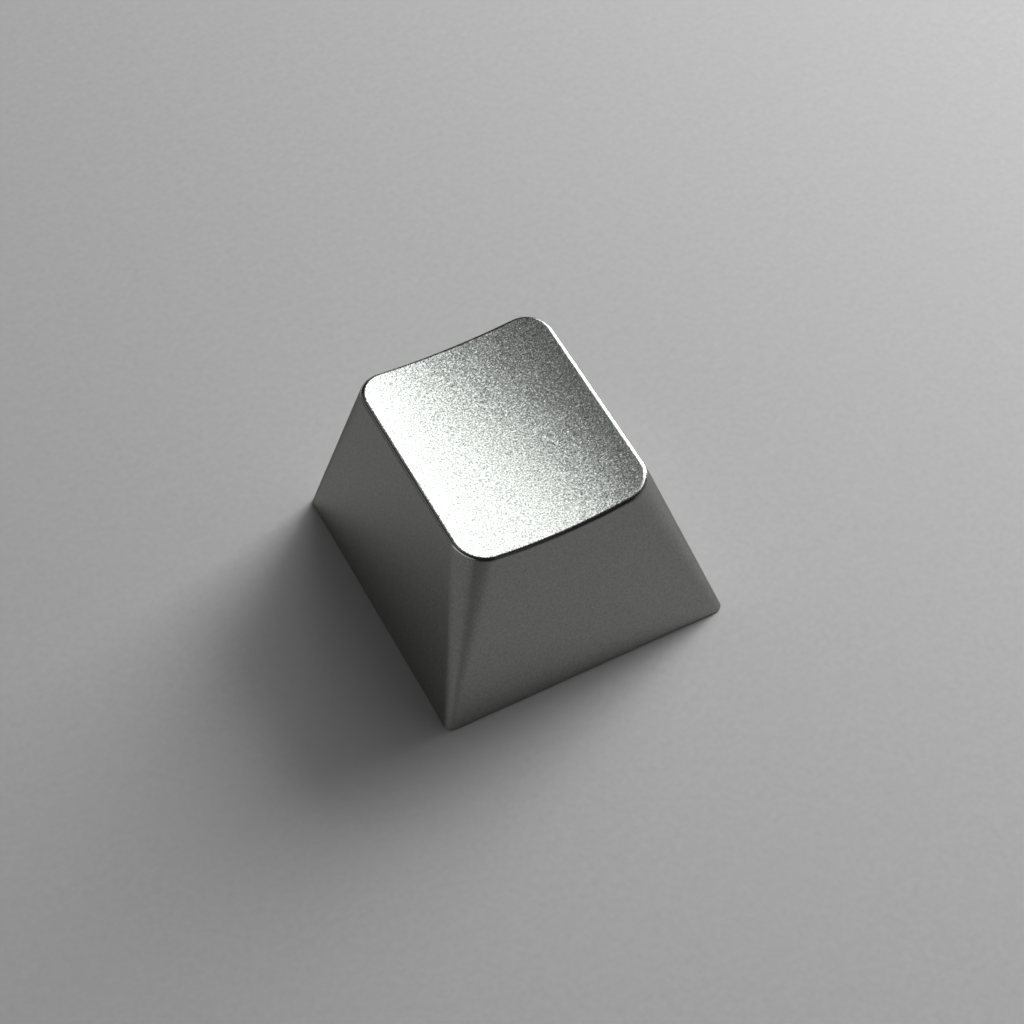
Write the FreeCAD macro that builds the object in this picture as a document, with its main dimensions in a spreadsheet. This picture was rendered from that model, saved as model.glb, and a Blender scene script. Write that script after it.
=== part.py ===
"""Metal keycap: one machined and bead blasted piece with a dished top, a hollow underside and a stem.

Millimetres, +Z up, -Y towards the typist. The origin is the middle of the bottom rim.
"""
import FreeCAD, Part
import math
import os
import Sketcher
from FreeCAD import Placement, Rotation, Vector

# Driving dimensions. The base's and the top's sizes are those of their sharp edges, before these are eased.
SIZES = {
    "base_width": (18.15, "outside width of the bottom rim"),
    "base_depth": (18.15, "outside depth of the bottom rim"),
    "base_corner": (0.5, "corner radius of the bottom rim"),
    "base_break": (0.08, "flat that breaks the outer edge of the bottom rim"),
    "height": (10.05, "bottom rim to the side edges of the top"),
    "top_width": (12.1, "width of the top across its side edges"),
    "top_depth": (14.4, "depth of the top from front edge to back edge"),
    "top_corner": (1.9, "corner radius of the top"),
    "top_setback": (1.8, "middle of the top, behind the middle of the base"),
    "top_tilt": (0.35, "degrees that the top falls towards the back"),
    "dish_radius": (36.5, "radius of the finger dish, whose axis runs front to back"),
    "rim_round": (0.3, "polished round along the edge of the top"),
    "wall": (1.4, "side wall, measured level"),
    "roof": (1.6, "metal between the hollow and the deepest line of the dish"),
    "hollow_corner": (1.2, "corner radius of the hollow, that of the cutter that mills it"),
    "stem_wall": (0.71, "metal between the tips of the socket and the outside of the round stem"),
    "stem_recess": (0.6, "end of the stem, above the bottom rim"),
    "stem_root_round": (0.5, "round between the stem and the roof"),
    "stem_end_break": (0.15, "flat that breaks the outer edge of the stem's end"),
    "cross_span": (4.0, "the switch's cross, tip to tip"),
    "cross_bar_across": (1.3, "thickness of the cross's left to right bar"),
    "cross_bar_along": (1.1, "thickness of the cross's front to back bar"),
    "cross_clearance": (0.04, "room between the cross and each side of the socket"),
    "socket_depth": (4.2, "socket for the cross, from the end of the stem"),
    "socket_lead_in": (0.15, "flat round the socket's mouth that guides the cross in"),
    "spare": (1.5, "stock past the top's edges, which the dish cut clears away"),
}

# Sizes that follow from the driving ones, as expressions on the sheet.
BREAK_SHARE = "(Sizes.base_break / Sizes.height)"
STOCK_HEIGHT = "(Sizes.height + Sizes.spare)"
STOCK_SHARE = f"({STOCK_HEIGHT} / Sizes.height)"
DISH_CENTRE = "sqrt(Sizes.dish_radius ^ 2 - (Sizes.top_width / 2) ^ 2)"
DISH_DEPTH = f"(Sizes.dish_radius - {DISH_CENTRE})"
HOLLOW_HEIGHT = f"(Sizes.height - {DISH_DEPTH} - Sizes.roof)"
HOLLOW_SHARE = f"({HOLLOW_HEIGHT} / Sizes.height)"
SOCKET_SPAN = "(Sizes.cross_span + 2 * Sizes.cross_clearance)"
SOCKET_ACROSS = "(Sizes.cross_bar_across + 2 * Sizes.cross_clearance)"
SOCKET_ALONG = "(Sizes.cross_bar_along + 2 * Sizes.cross_clearance)"
STEM_DIAMETER = f"({SOCKET_SPAN} + 2 * Sizes.stem_wall)"

NEAR = 1e-4
FAULTS = ("Invalid", "Error")


def between(base, top, share):
    """Expression for a size that runs evenly from the base to the top, and on past it."""
    return f"(Sizes.{base} + (Sizes.{top} - Sizes.{base}) * {share})"


def make_sheet(doc):
    """Sheet with one named cell for each driving dimension."""
    sheet = doc.addObject("Spreadsheet::Sheet", "Sizes")
    for row, (name, (amount, meaning)) in enumerate(SIZES.items(), start=1):
        sheet.set(f"A{row}", name)
        sheet.set(f"B{row}", str(amount))
        sheet.setAlias(f"B{row}", name)
        sheet.set(f"C{row}", meaning)
    doc.recompute()
    return sheet


def new_sketch(body, name, plane, level=None):
    """Sketch on one of the body's own origin planes, raised along its normal by an expression."""
    sketch = body.newObject("Sketcher::SketchObject", name)
    support = next(item for item in body.Origin.OriginFeatures if item.Role == plane)
    sketch.AttachmentSupport = (support, "")
    sketch.MapMode = "FlatFace"
    if level:
        sketch.setExpression("AttachmentOffset.Base.z", level)
    return sketch


def value(thing, expression):
    """Present value of an expression on the sheet."""
    return float(thing.evalExpression(expression))


def size(sketch, name, constraint, expression):
    """Adds a dimension to a sketch and ties it to an expression on the sheet."""
    index = sketch.addConstraint(constraint)
    sketch.renameConstraint(index, name)
    sketch.setExpression(f"Constraints.{name}", expression)


def draw_four_sides(sketch, half_x, half_y, corner=0.0, middle=0.0):
    """Front, right, back and left line of a rectangle, each short of its corners by the corner's size."""
    in_x, in_y = half_x - corner, half_y - corner
    ends = [
        ((-in_x, -half_y), (in_x, -half_y)),
        ((half_x, -in_y), (half_x, in_y)),
        ((in_x, half_y), (-in_x, half_y)),
        ((-half_x, in_y), (-half_x, -in_y)),
    ]
    lines = []
    for side, points in enumerate(ends):
        start, end = [Vector(x, y + middle, 0) for x, y in points]
        lines.append(sketch.addGeometry(Part.LineSegment(start, end)))
        sketch.addConstraint(Sketcher.Constraint("Vertical" if side % 2 else "Horizontal", lines[side]))
    return lines


def draw_rounded_rectangle(sketch, width, depth, corner, shift):
    """Rectangle with round corners, even about the Y axis, its middle moved along Y by a shift."""
    half_x = value(sketch, width) / 2
    half_y = value(sketch, depth) / 2
    radius = value(sketch, corner)
    middle = value(sketch, shift)
    lines = draw_four_sides(sketch, half_x, half_y, radius, middle)
    in_x, in_y = half_x - radius, half_y - radius
    arcs = []
    for turn, (x, y) in enumerate([(in_x, -in_y), (in_x, in_y), (-in_x, in_y), (-in_x, -in_y)]):
        circle = Part.Circle(Vector(x, y + middle, 0), Vector(0, 0, 1), radius)
        start = (turn - 1) * math.pi / 2
        arcs.append(sketch.addGeometry(Part.ArcOfCircle(circle, start, start + math.pi / 2)))
    for turn, arc in enumerate(arcs):
        sketch.addConstraint(Sketcher.Constraint("Tangent", lines[turn], 2, arc, 1))
        sketch.addConstraint(Sketcher.Constraint("Tangent", arc, 2, lines[(turn + 1) % 4], 1))
    for arc in arcs[1:]:
        sketch.addConstraint(Sketcher.Constraint("Equal", arcs[0], arc))
    front, right, back, left = lines
    size(sketch, "width", Sketcher.Constraint("DistanceX", left, 1, right, 1, 2 * half_x), width)
    size(sketch, "depth", Sketcher.Constraint("DistanceY", front, 1, back, 2, 2 * half_y), depth)
    size(sketch, "corner", Sketcher.Constraint("Radius", arcs[0], radius), corner)
    to_right = Sketcher.Constraint("DistanceX", -1, 1, right, 1, half_x)
    size(sketch, "right", to_right, f"{width} / 2")
    to_front = Sketcher.Constraint("DistanceY", front, 1, -1, 1, half_y - middle)
    size(sketch, "front", to_front, f"{depth} / 2 - {shift}")


def section_sketch(body, name, share, level=None, inset="0", corner=None):
    """Outline at a share of the cap's height, moved in from the outside of the walls by an inset."""
    sketch = new_sketch(body, name, "XY_Plane", level)
    width = f"({between('base_width', 'top_width', share)} - 2 * {inset})"
    depth = f"({between('base_depth', 'top_depth', share)} - 2 * {inset})"
    corner = corner or between("base_corner", "top_corner", share)
    draw_rounded_rectangle(sketch, width, depth, corner, f"(Sizes.top_setback * {share})")
    return sketch


def dish_sketch(body):
    """Section of the finger dish: an arc through the side edges of the top, closed above the stock."""
    sketch = new_sketch(body, "dish_section", "XZ_Plane", "-Sizes.top_setback")
    lean = Rotation(Vector(-1, 0, 0), value(sketch, "Sizes.top_tilt"))
    sketch.AttachmentOffset = Placement(Vector(0, 0, 0), lean)
    sketch.setExpression("AttachmentOffset.Base.y", "Sizes.height")
    sketch.setExpression("AttachmentOffset.Rotation.Angle", "Sizes.top_tilt")
    reach, lid = "(Sizes.top_width / 2 + Sizes.spare)", "(2 * Sizes.spare)"
    half_x, lid_y = value(sketch, reach), value(sketch, lid)
    radius, centre_y = value(sketch, "Sizes.dish_radius"), value(sketch, DISH_CENTRE)
    swing = math.asin(half_x / radius)
    end_y = centre_y - radius * math.cos(swing)
    circle = Part.Circle(Vector(0, centre_y, 0), Vector(0, 0, 1), radius)
    lowest = -math.pi / 2
    arc = sketch.addGeometry(Part.ArcOfCircle(circle, lowest - swing, lowest + swing))
    right_low, right_high = Vector(half_x, end_y, 0), Vector(half_x, lid_y, 0)
    left_low, left_high = Vector(-half_x, end_y, 0), Vector(-half_x, lid_y, 0)
    right = sketch.addGeometry(Part.LineSegment(right_low, right_high))
    top = sketch.addGeometry(Part.LineSegment(right_high, left_high))
    left = sketch.addGeometry(Part.LineSegment(left_high, left_low))
    for one, other in ((arc, right), (right, top), (top, left), (left, arc)):
        sketch.addConstraint(Sketcher.Constraint("Coincident", one, 2, other, 1))
    for upright in (right, left):
        sketch.addConstraint(Sketcher.Constraint("Vertical", upright))
    sketch.addConstraint(Sketcher.Constraint("Symmetric", top, 1, top, 2, -2))
    sketch.addConstraint(Sketcher.Constraint("PointOnObject", arc, 3, -2))
    size(sketch, "radius", Sketcher.Constraint("Radius", arc, radius), "Sizes.dish_radius")
    size(sketch, "centre", Sketcher.Constraint("DistanceY", -1, 1, arc, 3, centre_y), DISH_CENTRE)
    size(sketch, "reach", Sketcher.Constraint("DistanceX", -1, 1, top, 1, half_x), reach)
    size(sketch, "lid", Sketcher.Constraint("DistanceY", -1, 1, top, 1, lid_y), lid)
    return sketch


def stem_sketch(body):
    """Round section of the stem, at its lower end."""
    sketch = new_sketch(body, "stem_section", "XY_Plane", "Sizes.stem_recess")
    diameter = value(sketch, STEM_DIAMETER)
    circle = sketch.addGeometry(Part.Circle(Vector(0, 0, 0), Vector(0, 0, 1), diameter / 2))
    sketch.addConstraint(Sketcher.Constraint("Coincident", circle, 3, -1, 1))
    size(sketch, "diameter", Sketcher.Constraint("Diameter", circle, diameter), STEM_DIAMETER)
    return sketch


def slot_sketch(body, name, across, along):
    """Mouth of one bar of the cross-shaped socket: a rectangle about the middle of the stem."""
    sketch = new_sketch(body, name, "XY_Plane", "Sizes.stem_recess")
    half_x, half_y = value(sketch, across) / 2, value(sketch, along) / 2
    lines = draw_four_sides(sketch, half_x, half_y)
    for place, line in enumerate(lines):
        sketch.addConstraint(Sketcher.Constraint("Coincident", line, 2, lines[(place + 1) % 4], 1))
    front, right, back = lines[:3]
    sketch.addConstraint(Sketcher.Constraint("Symmetric", front, 1, back, 1, -1, 1))
    size(sketch, "across", Sketcher.Constraint("DistanceX", front, 1, front, 2, 2 * half_x), across)
    size(sketch, "along", Sketcher.Constraint("DistanceY", right, 1, right, 2, 2 * half_y), along)
    return sketch


def finish(feature, adds):
    """Recomputes, and stops if the feature failed or didn't add or take metal as it should."""
    feature.Document.recompute()
    before = feature.BaseFeature.Shape.Volume if feature.BaseFeature else 0.0
    gain = feature.Shape.Volume - before
    failed = any(fault in feature.State for fault in FAULTS)
    if failed or (gain > 0) != adds:
        raise RuntimeError(f"{feature.Name}: {feature.State}, volume changed by {gain:.4f}")


def loft(body, name, outlines, adds):
    """Straight sides from outline to outline, to add metal or to take it away."""
    feature = body.newObject("PartDesign::AdditiveLoft" if adds else "PartDesign::SubtractiveLoft", name)
    feature.Profile = outlines[0]
    feature.Sections = outlines[1:]
    feature.Ruled = True
    finish(feature, adds)


def pocket(body, name, sketch, depth=None):
    """Cut of a sketch: upwards by a depth, or through all both ways where none is given."""
    feature = body.newObject("PartDesign::Pocket", name)
    feature.Profile = sketch
    if depth:
        feature.Reversed = True
        feature.setExpression("Length", depth)
    else:
        feature.Type = "ThroughAll"
        feature.SideType = "Symmetric"
    finish(feature, False)


def pad(body, name, sketch, length):
    """Metal from a sketch upwards."""
    feature = body.newObject("PartDesign::Pad", name)
    feature.Profile = sketch
    feature.setExpression("Length", length)
    finish(feature, True)


def soften(body, kind, name, wanted, amount, adds=False):
    """Fillet or chamfer, by a size on the sheet, of the wanted edges of the metal so far."""
    base = body.Tip
    edges = [f"Edge{place}" for place, edge in enumerate(base.Shape.Edges, start=1) if wanted(edge)]
    feature = body.newObject(f"PartDesign::{kind}", name)
    feature.Base = (base, edges)
    feature.setExpression("Radius" if kind == "Fillet" else "Size", f"Sizes.{amount}")
    finish(feature, adds)


def level_edges(height, closed):
    """Test for the edges that lie at one height all along: whole circles, or else open stretches."""
    def wanted(edge):
        box = edge.BoundBox
        level = abs(box.ZMin - height) < NEAR and abs(box.ZMax - height) < NEAR
        return level and edge.isClosed() == closed
    return wanted


def edges_of(face):
    """Test for the edges of one face."""
    return lambda edge: any(edge.isSame(own) for own in face.Edges)


def add_walls(body):
    """Tapered walls with conical corners, and their dished top with its polished edge."""
    eased_corner = "(Sizes.base_corner - Sizes.base_break)"
    foot = section_sketch(body, "foot_outline", "0", None, "Sizes.base_break", eased_corner)
    base = section_sketch(body, "base_outline", BREAK_SHARE, "Sizes.base_break")
    stock = section_sketch(body, "stock_outline", STOCK_SHARE, STOCK_HEIGHT)
    loft(body, "tapered_walls", [foot, base, stock], True)
    pocket(body, "finger_dish", dish_sketch(body))
    dish = next(face for face in body.Tip.Shape.Faces if isinstance(face.Surface, Part.Cylinder))
    soften(body, "Fillet", "rim_edge", edges_of(dish), "rim_round")


def cut_hollow(body):
    """Hollow underside, one wall in from the outside and one roof under the dish."""
    corner = "Sizes.hollow_corner"
    mouth = section_sketch(body, "hollow_mouth", "0", None, "Sizes.wall", corner)
    roof = section_sketch(body, "hollow_roof", HOLLOW_SHARE, HOLLOW_HEIGHT, "Sizes.wall", corner)
    loft(body, "hollow", [mouth, roof], False)


def add_stem(body, sheet):
    """Round stem under the roof, with the cross-shaped socket that grips the switch."""
    pad(body, "stem", stem_sketch(body), f"{HOLLOW_HEIGHT} - Sizes.stem_recess")
    root_height, end_height = value(sheet, HOLLOW_HEIGHT), value(sheet, "Sizes.stem_recess")
    soften(body, "Fillet", "stem_root", level_edges(root_height, True), "stem_root_round", True)
    soften(body, "Chamfer", "stem_end", level_edges(end_height, True), "stem_end_break")
    across = slot_sketch(body, "bar_across", SOCKET_SPAN, SOCKET_ACROSS)
    pocket(body, "socket_across", across, "Sizes.socket_depth")
    along = slot_sketch(body, "bar_along", SOCKET_ALONG, SOCKET_SPAN)
    pocket(body, "socket_along", along, "Sizes.socket_depth")
    soften(body, "Chamfer", "socket_mouth", level_edges(end_height, False), "socket_lead_in")


def build_keycap(doc, sheet):
    """The whole cap as one body."""
    body = doc.addObject("PartDesign::Body", "keycap")
    body.Label = "keycap"
    add_walls(body)
    cut_hollow(body)
    add_stem(body, sheet)
    return body


def main():
    """Builds the document, checks every object in it and writes the cap."""
    doc = FreeCAD.newDocument("metal_keycap")
    sheet = make_sheet(doc)
    keycap = build_keycap(doc, sheet)
    doc.recompute()
    failed = [item.Name for item in doc.Objects if any(fault in item.State for fault in FAULTS)]
    shape = keycap.Shape
    if failed or shape.isNull() or not shape.isValid() or len(shape.Solids) != 1:
        raise RuntimeError(f"{keycap.Label} isn't one valid solid, failed objects: {failed}")
    os.makedirs("parts", exist_ok=True)
    shape.exportStep(f"parts/{keycap.Label}.step")
    print(f"{keycap.Label}: {shape.Volume:.2f} mm3, {len(shape.Faces)} faces")


main()
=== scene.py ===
"""Looks of the metal keycap: one closed skin of blasted, satin, polished and milled aluminium, on a pale table."""
import math

import bpy
import numpy as np
from mathutils import Matrix, Vector


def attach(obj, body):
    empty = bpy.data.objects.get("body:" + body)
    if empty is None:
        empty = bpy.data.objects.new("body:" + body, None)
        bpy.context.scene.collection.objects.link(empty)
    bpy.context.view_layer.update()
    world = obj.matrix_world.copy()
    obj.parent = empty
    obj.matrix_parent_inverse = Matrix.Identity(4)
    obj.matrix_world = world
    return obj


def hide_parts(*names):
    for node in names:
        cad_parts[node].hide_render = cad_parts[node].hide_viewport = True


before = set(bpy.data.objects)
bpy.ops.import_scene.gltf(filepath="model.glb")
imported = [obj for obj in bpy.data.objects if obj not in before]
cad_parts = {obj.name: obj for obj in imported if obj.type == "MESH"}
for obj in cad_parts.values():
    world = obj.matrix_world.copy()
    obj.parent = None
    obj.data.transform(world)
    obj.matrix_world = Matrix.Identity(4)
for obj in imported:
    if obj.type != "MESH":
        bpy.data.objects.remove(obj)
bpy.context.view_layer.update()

MM = 0.001
QUARTER_TURN = math.pi / 2

# Sizes of the cap in millimetres, as the CAD model has them. Those of the socket hold its clearance.
BASE_WIDTH, BASE_DEPTH, BASE_CORNER, BASE_BREAK = 18.15, 18.15, 0.5, 0.08
TOP_WIDTH, TOP_DEPTH, TOP_CORNER, TOP_SETBACK = 12.1, 14.4, 1.9, 1.8
HEIGHT = 10.05
TOP_TILT = math.radians(0.35)
DISH_RADIUS = 36.5
RIM_ROUND = 0.3
WALL, ROOF, HOLLOW_CORNER = 1.4, 1.6, 1.2
CROSS_HALF_SPAN, CROSS_HALF_ACROSS, CROSS_HALF_ALONG = 2.04, 0.69, 0.59
STEM_RADIUS, STEM_RECESS, STEM_ROOT, STEM_END_BREAK = 2.75, 0.6, 0.5, 0.15
SOCKET_DEPTH, SOCKET_LEAD_IN = 4.2, 0.15

# Finishing of the hollow that only the skin has: the cutter's round at the roof and a break at the mouth.
HOLLOW_ROOT, MOUTH_BREAK = 0.3, 0.06

# Sizes that follow from those.
DISH_CENTRE = math.sqrt(DISH_RADIUS**2 - (TOP_WIDTH / 2) ** 2)
HOLLOW_HEIGHT = HEIGHT - (DISH_RADIUS - DISH_CENTRE) - ROOF
HOLLOW_SHARE = HOLLOW_HEIGHT / HEIGHT
SOCKET_FLOOR = STEM_RECESS + SOCKET_DEPTH

# Stations round the cap, for a quarter: along half a side, round a corner, along half the next side.
HALF_SIDE, CORNER = 16, 16
# Stations on a quarter of the cross: half a tip, two flanks, half a tip. They add up to the same count.
HALF_TIP, FLANK = 8, 16

# Rings down the skin, as counts. Near the dish's edge and the ends of the walls they lie closer.
DISH_STEPS, DISH_EVEN_SHARE, DISH_EDGE_SHARES = 33, 0.97, [0.99, 0.997, 1.0]
RIM_STEPS = 16
WALL_SHARES = [0.004, 0.03, 0.2, 0.4, 0.6, 0.8, 0.97, 1.0]
HOLLOW_SIDE_RINGS, HOLLOW_ROOT_STEPS = 12, 8
ROOF_STEPS, STEM_ROOT_STEPS, STEM_SIDE_STEPS = 8, 10, 6
SOCKET_SIDE_RINGS, SOCKET_FLOOR_SHARES = 7, [0.4, 0.8]

# Finishes by number, and the rings of the rim, from the dish and from the wall, that aren't polished.
BLASTED, SATIN, POLISHED, MILLED = range(4)
RIM_BLASTED_RINGS, RIM_SATIN_RINGS = 5, 4

# Edges that turn by more than this are drawn sharp.
SHARP_ANGLE = math.radians(24)


def even_steps(count, end=1.0):
    """Even steps up to an end, without the start at 0."""
    return np.linspace(0, end, count + 1)[1:]


def quarter_turns(x, y, turn):
    """Repeats a quarter's points three times, each a quarter turn further: (x, y) goes to (-y, x)."""
    xs, ys = np.concatenate([x, -y, -x, y]), np.concatenate([y, x, -y, -x])
    turns = np.concatenate([turn + quarter * QUARTER_TURN for quarter in range(4)])
    return xs, ys, turns


def station_frame():
    """Lean and facing of every station, counter-clockwise from the middle of the right side.

    A rounded rectangle is its four corner centres, joined, plus a circle: along a side the lean moves from
    one corner centre to the next while the facing stays, and round a corner the facing turns by a quarter."""
    along = np.concatenate([
        np.linspace(0, 1, HALF_SIDE, endpoint=False),
        np.linspace(1, 2, CORNER, endpoint=False),
        np.linspace(2, 3, HALF_SIDE, endpoint=False),
    ])
    lean_x = np.interp(along, [0, 2, 3], [1, 1, 0])
    lean_y = np.interp(along, [0, 1, 3], [0, 1, 1])
    turn = np.interp(along, [1, 2], [0, QUARTER_TURN])
    lean_x, lean_y, turn = quarter_turns(lean_x, lean_y, turn)
    return lean_x, lean_y, np.cos(turn), np.sin(turn)


LEAN_X, LEAN_Y, FACE_X, FACE_Y = station_frame()


def at_level(x, y, z):
    """Ring of points from its x, y and z, any of which may be one number."""
    return np.stack(np.broadcast_arrays(x, y, z), axis=-1).astype(float)


def rounded_rectangle(width, depth, corner, shift, z):
    """Ring at a level: each station's corner centre plus the corner radius in the direction it faces."""
    x = LEAN_X * (width / 2 - corner) + corner * FACE_X
    y = LEAN_Y * (depth / 2 - corner) + corner * FACE_Y + shift
    return at_level(x, y, z)


def between(base, top, share):
    """A size at a share of the cap's height."""
    return base + (top - base) * share


def section(share, inset=0.0, corner=None, z=None):
    """Ring of the tapered walls at a share of the height, moved in by an inset."""
    corner = between(BASE_CORNER, TOP_CORNER, share) - inset if corner is None else corner
    width = between(BASE_WIDTH, TOP_WIDTH, share) - 2 * inset
    depth = between(BASE_DEPTH, TOP_DEPTH, share) - 2 * inset
    z = HEIGHT * share if z is None else z
    return rounded_rectangle(width, depth, corner, TOP_SETBACK * share, z)


def cross(grow, z):
    """Ring along the outline of the cross-shaped socket, made larger all round by a size."""
    span, across, along = CROSS_HALF_SPAN + grow, CROSS_HALF_ACROSS + grow, CROSS_HALF_ALONG + grow
    steps = np.concatenate([
        np.linspace(0, 1, HALF_TIP, endpoint=False),
        np.linspace(1, 2, FLANK, endpoint=False),
        np.linspace(2, 3, FLANK, endpoint=False),
        np.linspace(3, 4, HALF_TIP, endpoint=False),
    ])
    knots = np.arange(5)
    x_right = np.interp(steps, knots, [span, span, along, along, 0])
    y_right = np.interp(steps, knots, [0, across, across, span, span])
    x_left, y_left = -x_right[::-1], y_right[::-1]
    x_half = np.concatenate([x_right, [0.0], x_left[:-1]])
    y_half = np.concatenate([y_right, [span], y_left[:-1]])
    return at_level(np.concatenate([x_half, -x_half]), np.concatenate([y_half, -y_half]), z)


def circle(radius, z):
    """Ring round the stem, its stations in the directions of those of the cross."""
    outline = cross(0.0, 0.0)
    turn = np.arctan2(outline[:, 1], outline[:, 0])
    return at_level(radius * np.cos(turn), radius * np.sin(turn), z)


def blend_rings(first, last, shares):
    """Rings on the straight lines from one ring to another, at the given shares of the way."""
    return first + np.asarray(shares)[:, None, None] * (last - first)


def unit(vectors):
    """Vectors of length one."""
    return vectors / np.linalg.norm(vectors, axis=-1, keepdims=True)


def dish_height(x, y):
    """Height of the finger dish: the lower half of a cylinder that lies front to back and falls by the tilt."""
    sag = DISH_CENTRE - np.sqrt(DISH_RADIUS**2 - x**2)
    return HEIGHT + (sag - (y - TOP_SETBACK) * math.sin(TOP_TILT)) / math.cos(TOP_TILT)


def rim_ball():
    """Rolling ball that makes the polished edge: its middle at each station, and where it touches.

    Its middle lies one radius inside the wall, on a line beside the wall's own, and one radius under the
    dish, on a cylinder that much larger. The line meets the cylinder at the first root of a quadratic.
    It touches the wall and the dish one radius from its middle, along their normals."""
    foot, head = section(0.0), section(1.0)
    rise = head - foot
    facing = at_level(FACE_X, FACE_Y, 0.0)
    along = at_level(-FACE_Y, FACE_X, 0.0)
    wall_normal = unit(np.cross(along, rise))
    wall_normal *= np.sign((wall_normal * facing).sum(-1, keepdims=True))
    up = np.array([0.0, math.sin(TOP_TILT), math.cos(TOP_TILT)])
    axis_point = np.array([0.0, TOP_SETBACK, HEIGHT]) + DISH_CENTRE * up
    start = foot - RIM_ROUND * wall_normal - axis_point
    start_x, start_up, rise_x, rise_up = start[:, 0], start @ up, rise[:, 0], rise @ up
    square = rise_x**2 + rise_up**2
    half = start_x * rise_x + start_up * rise_up
    rest = start_x**2 + start_up**2 - (DISH_RADIUS + RIM_ROUND) ** 2
    share = (-half - np.sqrt(half**2 - square * rest)) / square
    from_axis = start + share[:, None] * rise
    dish_normal = -unit(at_level(from_axis[:, 0], 0.0, 0.0) + (from_axis @ up)[:, None] * up)
    return from_axis + axis_point, wall_normal, dish_normal


def rim_rings(middle, wall_normal, dish_normal):
    """Polished edge: from the dish to the wall, the ball's normal swings evenly along a great circle."""
    swing = np.arccos((dish_normal * wall_normal).sum(-1))[None, :, None]
    share = even_steps(RIM_STEPS)[:, None, None]
    normal = np.sin((1 - share) * swing) * dish_normal + np.sin(share * swing) * wall_normal
    return middle + RIM_ROUND * normal / np.sin(swing)


def dish_rings(edge):
    """Finger dish: the edge drawn in to its middle ring by ring, each point set on the dish's cylinder."""
    shares = np.concatenate([even_steps(DISH_STEPS, DISH_EVEN_SHARE), DISH_EDGE_SHARES])[:, None]
    x = edge[:, 0] * shares
    y = TOP_SETBACK + (edge[:, 1] - TOP_SETBACK) * shares
    return at_level(x, y, dish_height(x, y))


def hollow_rings():
    """Underside: bottom rim, tapered sides of the hollow and the cutter's round up to the roof."""
    mouth = section(0.0, WALL, HOLLOW_CORNER)
    top = section(HOLLOW_SHARE, WALL, HOLLOW_CORNER)
    lip = section(0.0, WALL - MOUTH_BREAK, HOLLOW_CORNER + MOUTH_BREAK)
    low, high = MOUTH_BREAK / HOLLOW_HEIGHT, 1 - HOLLOW_ROOT / HOLLOW_HEIGHT
    sides = blend_rings(mouth, top, np.linspace(low, high, HOLLOW_SIDE_RINGS))
    rounds = []
    for turn in even_steps(HOLLOW_ROOT_STEPS, QUARTER_TURN):
        inward, below = HOLLOW_ROOT * (1 - math.cos(turn)), HOLLOW_ROOT * (1 - math.sin(turn))
        rounds.append(section(HOLLOW_SHARE, WALL + inward, HOLLOW_CORNER - inward, HOLLOW_HEIGHT - below))
    return np.concatenate([lip[None], sides, np.stack(rounds)])


def stem_rings(roof_edge):
    """Roof, the round at the stem's root, the round stem and its broken end."""
    root = circle(STEM_RADIUS + STEM_ROOT, HOLLOW_HEIGHT)
    roof = blend_rings(roof_edge, root, even_steps(ROOF_STEPS))
    rounds = []
    for turn in even_steps(STEM_ROOT_STEPS, QUARTER_TURN):
        outward, below = STEM_ROOT * (1 - math.sin(turn)), STEM_ROOT * (1 - math.cos(turn))
        rounds.append(circle(STEM_RADIUS + outward, HOLLOW_HEIGHT - below))
    low = circle(STEM_RADIUS, STEM_RECESS + STEM_END_BREAK)
    sides = blend_rings(rounds[-1], low, even_steps(STEM_SIDE_STEPS))
    broken = circle(STEM_RADIUS - STEM_END_BREAK, STEM_RECESS)
    return np.concatenate([roof, np.stack(rounds), sides, broken[None]])


def socket_rings():
    """Socket: its mouth's lead-in, its straight sides and its floor drawn in towards the middle."""
    mouth = cross(SOCKET_LEAD_IN, STEM_RECESS)
    throat = cross(0.0, STEM_RECESS + SOCKET_LEAD_IN)
    floor = cross(0.0, SOCKET_FLOOR)
    sides = blend_rings(throat, floor, np.linspace(0, 1, SOCKET_SIDE_RINGS))
    middle = at_level(np.zeros_like(LEAN_X), 0.0, SOCKET_FLOOR)
    inner = blend_rings(floor, middle, SOCKET_FLOOR_SHARES)
    return np.concatenate([mouth[None], sides, inner])


def keycap_rings():
    """The whole skin as rings, from the dish's middle over the rim, down, and up the hollow to the socket."""
    middle, wall_normal, dish_normal = rim_ball()
    dish = dish_rings(middle + RIM_ROUND * dish_normal)
    rim = rim_rings(middle, wall_normal, dish_normal)
    walls = blend_rings(rim[-1], section(BASE_BREAK / HEIGHT), WALL_SHARES)
    foot = section(0.0, BASE_BREAK)[None]
    hollow = hollow_rings()
    bands = [
        (dish, BLASTED),
        (rim[:RIM_BLASTED_RINGS], BLASTED),
        (rim[RIM_BLASTED_RINGS:-RIM_SATIN_RINGS], POLISHED),
        (rim[-RIM_SATIN_RINGS:], SATIN),
        (walls, SATIN),
        (foot, SATIN),
        (hollow, MILLED),
        (stem_rings(hollow[-1]), MILLED),
        (socket_rings(), MILLED),
    ]
    rings = np.concatenate([band for band, finish in bands])
    finishes = np.concatenate([np.full(len(band), finish) for band, finish in bands])
    return rings, finishes


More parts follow.
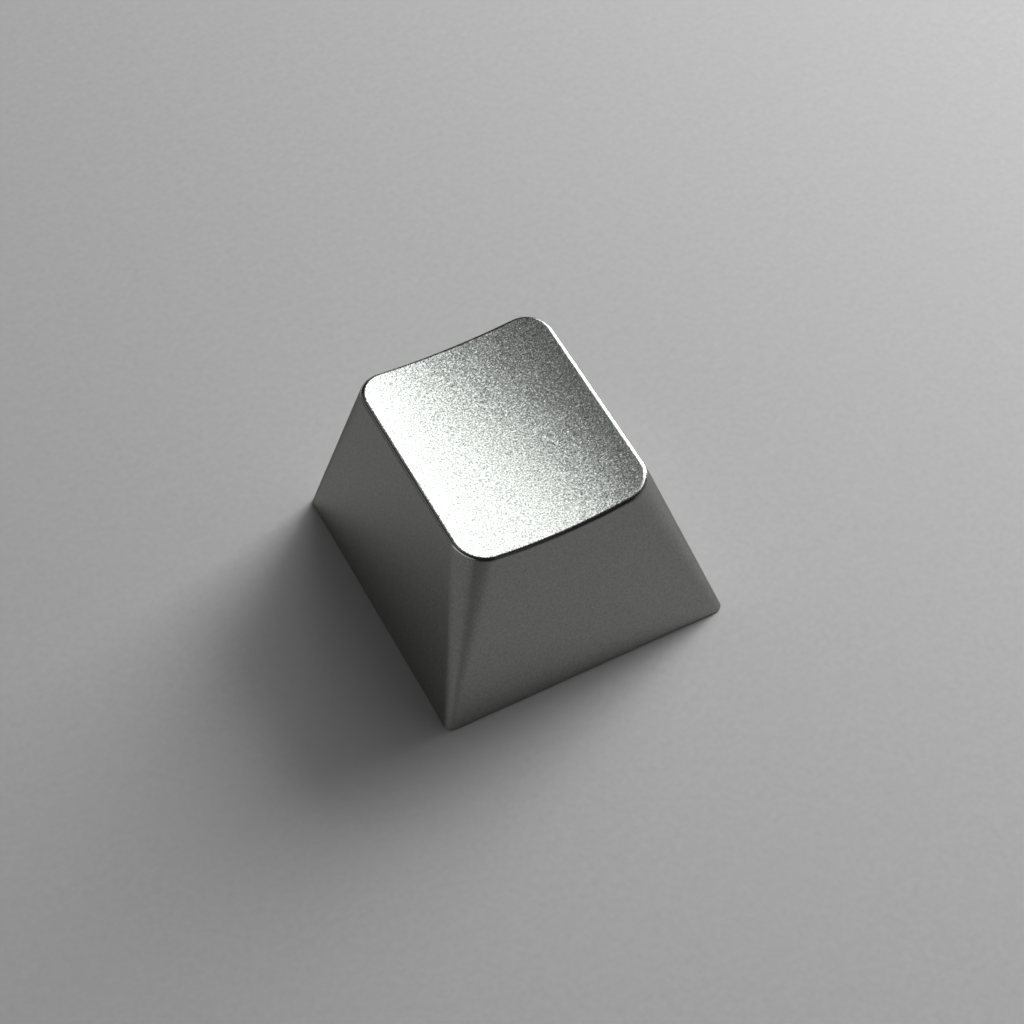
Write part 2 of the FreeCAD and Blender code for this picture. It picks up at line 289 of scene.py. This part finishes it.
def skin_mesh(name, rings, finishes, first_pole, last_pole):
    """Mesh of closed rings: four-sided faces from ring to ring, and a fan of triangles at either pole."""
    count, around = rings.shape[:2]
    grid = np.arange(count * around).reshape(count, around) + 1
    onward = np.roll(grid, -1, axis=1)
    quads = np.stack([grid[:-1], grid[1:], onward[1:], onward[:-1]], axis=-1).reshape(-1, 4)
    last = count * around + 1
    first_fan = np.stack([np.zeros(around, int), grid[0], onward[0]], axis=-1)
    last_fan = np.stack([np.full(around, last), onward[-1], grid[-1]], axis=-1)
    points = np.concatenate([first_pole[None], rings.reshape(-1, 3), last_pole[None]]) * MM
    mesh = bpy.data.meshes.new(name)
    mesh.from_pydata(points.tolist(), [], first_fan.tolist() + quads.tolist() + last_fan.tolist())
    finish = np.concatenate([
        np.full(around, finishes[0]), np.repeat(finishes[1:], around), np.full(around, finishes[-1]),
    ])
    mesh.polygons.foreach_set("material_index", finish.astype(np.int32))
    mesh.polygons.foreach_set("use_smooth", np.ones(len(finish), bool))
    mesh.set_sharp_from_angle(angle=SHARP_ANGLE)
    mesh.update()
    return mesh


# Places of the colour sockets on a Mix node, whose names it uses more than once.
MIX_FIRST, MIX_SECOND, MIX_RESULT = 6, 7, 2


class Wire:
    """An output of a node. Arithmetic on it adds Math nodes to the same node tree."""

    def __init__(self, tree, socket=None):
        self.tree, self.socket = tree, socket

    def node(self, kind, settings=None, sockets=None, out=0):
        """Adds a node: its settings first, then the values or links of its sockets. Gives one output."""
        made = self.tree.nodes.new(kind)
        for name, setting in (settings or {}).items():
            setattr(made, name, setting)
        for name, given in (sockets or {}).items():
            if isinstance(given, Wire):
                self.tree.links.new(given.socket, made.inputs[name])
            else:
                made.inputs[name].default_value = given
        return Wire(self.tree, made.outputs[out] if made.outputs else None)

    def math(self, operation, *values):
        """Adds a Math node."""
        return self.node("ShaderNodeMath", {"operation": operation}, dict(enumerate(values)))

    def vector(self, operation, *values):
        """Adds a Vector Math node."""
        return self.node("ShaderNodeVectorMath", {"operation": operation}, dict(enumerate(values)))

    def noise(self, place, scale, detail, out="Fac"):
        """Adds a noise whose lumps are about one over the scale in size."""
        sockets = {"Vector": place, "Scale": scale, "Detail": detail}
        return self.node("ShaderNodeTexNoise", {"noise_dimensions": "3D"}, sockets, out)

    def mix_colour(self, share, first, second):
        """Adds a Mix node between two colours."""
        sockets = {"Factor": share, MIX_FIRST: first, MIX_SECOND: second}
        return self.node("ShaderNodeMix", {"data_type": "RGBA"}, sockets, MIX_RESULT)

    def __add__(self, other):
        return self.math("ADD", self, other)

    def __sub__(self, other):
        return self.math("SUBTRACT", self, other)

    def __rsub__(self, other):
        return self.math("SUBTRACT", other, self)

    def __mul__(self, other):
        return self.math("MULTIPLY", self, other)

    __radd__ = __add__
    __rmul__ = __mul__


# A noise's values lie about this one. Its detail is the number of finer noises added to it.
NOISE_MIDDLE = 0.5
GRAIN_DETAIL, PATCH_DETAIL, MOTTLE_DETAIL = 1.0, 3.0, 2.0
# Length of a machining line, as a multiple of the lines' spacing, and the spread of the metal's roughness.
LINE_STRETCH = 40
GLOSS_SPREAD = 0.06


def new_material(name):
    """Empty material, and the wire that its nodes start from."""
    material = bpy.data.materials.new(name)
    material.use_nodes = True
    material.node_tree.nodes.clear()
    return material, Wire(material.node_tree)


def add_surface(start, sockets):
    """Adds the surface's shader, with the values or links of its sockets, and the material's output."""
    surface = start.node("ShaderNodeBsdfPrincipled", {}, sockets)
    start.node("ShaderNodeOutputMaterial", {}, {"Surface": surface})


def grained(start, normal, place, grain_size, strength):
    """Tips a normal every way by a noise with lumps of a size in millimetres."""
    lumps = start.noise(place, 1 / (grain_size * MM), GRAIN_DETAIL, "Color")
    centred = start.vector("SUBTRACT", lumps, (NOISE_MIDDLE, NOISE_MIDDLE, NOISE_MIDDLE))
    tip = start.vector("MULTIPLY", centred, (strength, strength, strength))
    return start.vector("ADD", normal, tip)


def lined(start, normal, place, spacing, strength):
    """Tips a normal up and down by a noise drawn out into level lines, a spacing in millimetres apart."""
    long_way, short_way = 1 / (LINE_STRETCH * spacing * MM), 1 / (spacing * MM)
    drawn_out = start.vector("MULTIPLY", place, (long_way, long_way, short_way))
    lines = start.noise(drawn_out, 1.0, GRAIN_DETAIL)
    tip = start.node("ShaderNodeCombineXYZ", {}, {"Z": strength * (lines - NOISE_MIDDLE)})
    return start.vector("ADD", normal, tip)


def metal(name, roughness, dark, light, patch_size, contrast=1.0, edge=1.0, grains=(), lines=()):
    """Aluminium with a grain and level lines that tip its surface, and patches that change its tone and gloss.

    Each grain is (size, strength) and each line (spacing, strength), in millimetres. The edge is the share
    of its gloss that the metal keeps where it is seen at a grazing angle."""
    material, start = new_material(name)
    place = start.node("ShaderNodeTexCoord", out="Object")
    patches = start.noise(place, 1 / (patch_size * MM), PATCH_DETAIL)
    normal = start.node("ShaderNodeNewGeometry", out="Normal")
    for size, strength in grains:
        normal = grained(start, normal, place, size, strength)
    for spacing, strength in lines:
        normal = lined(start, normal, place, spacing, strength)
    tone = start.mix_colour(0.5 + contrast * (patches - NOISE_MIDDLE), dark, light)
    add_surface(start, {
        "Base Color": tone,
        "Metallic": 1.0,
        "Specular Tint": (edge, edge, edge, 1),
        "Roughness": roughness + GLOSS_SPREAD * (patches - NOISE_MIDDLE),
        "Normal": start.vector("NORMALIZE", normal),
    })
    return material


def finishes_of_metal():
    """The four finishes, in the order of their numbers."""
    # The top's speckle is random, but its dark is painted shade in the blast's pits; its light is the metal's own
    # tone.
    blasted = metal(
        "blasted_top_painted_pit_shade", roughness=0.21, grains=[(0.08, 0.2)],
        dark=(0.27, 0.284, 0.27, 1), light=(0.87, 0.915, 0.87, 1), patch_size=0.11, contrast=2.6,
    )
    # Partly painted shade: the walls' tone, and the gloss they keep at a grazing angle, are set darker than the
    # top's and the rim's. This stands in for the shaded floor and dim room that the walls mirror.
    satin = metal(
        "satin_walls_painted_shade", roughness=0.38, grains=[(0.08, 0.12)], edge=0.4,
        dark=(0.32, 0.319, 0.31, 1), light=(0.47, 0.469, 0.457, 1), patch_size=0.12, contrast=2.0,
    )
    polished = metal(
        "polished_rim", roughness=0.18, grains=[(0.3, 0.03)],
        dark=(0.7, 0.7, 0.69, 1), light=(0.78, 0.78, 0.77, 1), patch_size=0.8,
    )
    milled = metal(
        "milled_inside", roughness=0.32, grains=[(0.25, 0.15), (0.08, 0.2)], lines=[(0.12, 0.3)],
        dark=(0.56, 0.56, 0.55, 1), light=(0.64, 0.64, 0.63, 1), patch_size=1.0,
    )
    return [blasted, satin, polished, milled]


def add_object(name, data):
    """Puts a new object with the given data in the scene."""
    made = bpy.data.objects.new(name, data)
    bpy.context.scene.collection.objects.link(made)
    return made


def make_keycap():
    """The cap's skin, in place of the CAD node, on its body."""
    rings, finishes = keycap_rings()
    first_pole = np.array([0.0, TOP_SETBACK, dish_height(0.0, TOP_SETBACK)])
    last_pole = np.array([0.0, 0.0, SOCKET_FLOOR])
    mesh = skin_mesh("keycap_skin", rings, finishes, first_pole, last_pole)
    for material in finishes_of_metal():
        mesh.materials.append(material)
    skin = add_object("keycap_skin", mesh)
    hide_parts("keycap")
    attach(skin, "root")


# Table top: half its side, the size of its mottle and the size and strength of its grain, in millimetres.
TABLE_HALF = 900.0
MOTTLE_SIZE = 0.8
TABLE_GRAIN, TABLE_GRAIN_STRENGTH = 0.4, 0.08
TABLE_DARK, TABLE_LIGHT = (0.465, 0.465, 0.465, 1), (0.495, 0.495, 0.495, 1)
TABLE_METALLIC, TABLE_ROUGHNESS = 0.2, 0.75


def make_table():
    """Pale table top: a flat sheet with a very fine, soft mottle."""
    corners = np.array([[-1, -1, 0], [1, -1, 0], [1, 1, 0], [-1, 1, 0]]) * TABLE_HALF * MM
    mesh = bpy.data.meshes.new("table_top")
    mesh.from_pydata(corners.tolist(), [], [[0, 1, 2, 3]])
    material, start = new_material("table_paint")
    place = start.node("ShaderNodeTexCoord", out="Object")
    flat = start.node("ShaderNodeNewGeometry", out="Normal")
    mottle = start.noise(place, 1 / (MOTTLE_SIZE * MM), MOTTLE_DETAIL)
    normal = grained(start, flat, place, TABLE_GRAIN, TABLE_GRAIN_STRENGTH)
    add_surface(start, {
        "Base Color": start.mix_colour(mottle, TABLE_DARK, TABLE_LIGHT),
        "Metallic": TABLE_METALLIC,
        "Roughness": TABLE_ROUGHNESS,
        "Normal": start.vector("NORMALIZE", normal),
    })
    mesh.materials.append(material)
    table = add_object("table_top", mesh)


# Soft lamps: azimuth and elevation in degrees, distance, width and height in millimetres, and power in watts.
# The azimuth turns from the back towards the right.
SOFTBOXES = {
    "window_softbox": (66.0, 27.0, 380.0, 166.0, 187.0, 1.57),
    "upper_softbox": (59.7, 53.2, 350.0, 236.0, 196.0, 0.248),
    "back_softbox": (42.0, 29.0, 450.0, 170.0, 220.0, 0.27),
    "left_back_softbox": (312.0, 24.0, 600.0, 640.0, 260.0, 0.055),
    "left_softbox": (259.0, 26.0, 600.0, 760.0, 480.0, 0.42),
    "ceiling_softbox": (5.0, 66.0, 500.0, 420.0, 320.0, 0.053),
    "right_softbox": (128.0, 22.0, 600.0, 560.0, 380.0, 0.06),
}
ROOM_GREY = (0.011, 0.011, 0.011, 1)


def add_softbox(name, azimuth, elevation, distance, width, height, power):
    """Rectangular soft lamp that faces the cap."""
    turn, tip = math.radians(azimuth), math.radians(elevation)
    towards = Vector((math.sin(turn) * math.cos(tip), math.cos(turn) * math.cos(tip), math.sin(tip)))
    lamp = bpy.data.lights.new(name, "AREA")
    lamp.shape = "RECTANGLE"
    lamp.size, lamp.size_y = width * MM, height * MM
    lamp.energy = power
    softbox = add_object(name, lamp)
    softbox.location = towards * distance * MM
    softbox.rotation_mode = "QUATERNION"
    softbox.rotation_quaternion = (-towards).to_track_quat("-Z", "Y")


def light_scene():
    """A window at the right and a little behind, low, and a dark room with dim fills.

    The upper lamp shines in the dish and the back lamp along the rim at the back right. The left ones fill
    the shadow and the left rim, the ceiling the dish's right side, and the right one the views from behind."""
    for name, numbers in SOFTBOXES.items():
        add_softbox(name, *numbers)
    world = bpy.data.worlds.new("dim_room")
    world.use_nodes = True
    world.node_tree.nodes["Background"].inputs["Color"].default_value = ROOM_GREY
    bpy.context.scene.world = world
    bpy.context.scene.view_settings.view_transform = "Standard"


# Camera: its place in millimetres, its axes, its focal length in pixels of a square image, its sensor's width
# in millimetres, and the nearest and farthest distance that it sees, in metres.
EYE = Vector((-42.3772, -74.6457, 128.7677))
CAMERA_RIGHT = Vector((0.883269, -0.468518, 0.018057))
CAMERA_UP = Vector((0.376732, 0.732103, 0.567536))
CAMERA_BACK = Vector((-0.27912, -0.494485, 0.82315))
FOCAL_PIXELS, IMAGE_PIXELS, SENSOR = 2614.87, 1024, 36.0
NEAREST, FARTHEST = 0.005, 10.0


def place_camera():
    """Camera at the photo's viewpoint."""
    lens = bpy.data.cameras.new("view_camera")
    lens.sensor_width = SENSOR
    lens.lens = SENSOR * FOCAL_PIXELS / IMAGE_PIXELS
    lens.clip_start, lens.clip_end = NEAREST, FARTHEST
    camera = add_object("view_camera", lens)
    turn = Matrix((CAMERA_RIGHT, CAMERA_UP, CAMERA_BACK)).transposed()
    camera.matrix_world = Matrix.Translation(EYE * MM) @ turn.to_4x4()
    bpy.context.scene.camera = camera


make_keycap()
make_table()
light_scene()
place_camera()
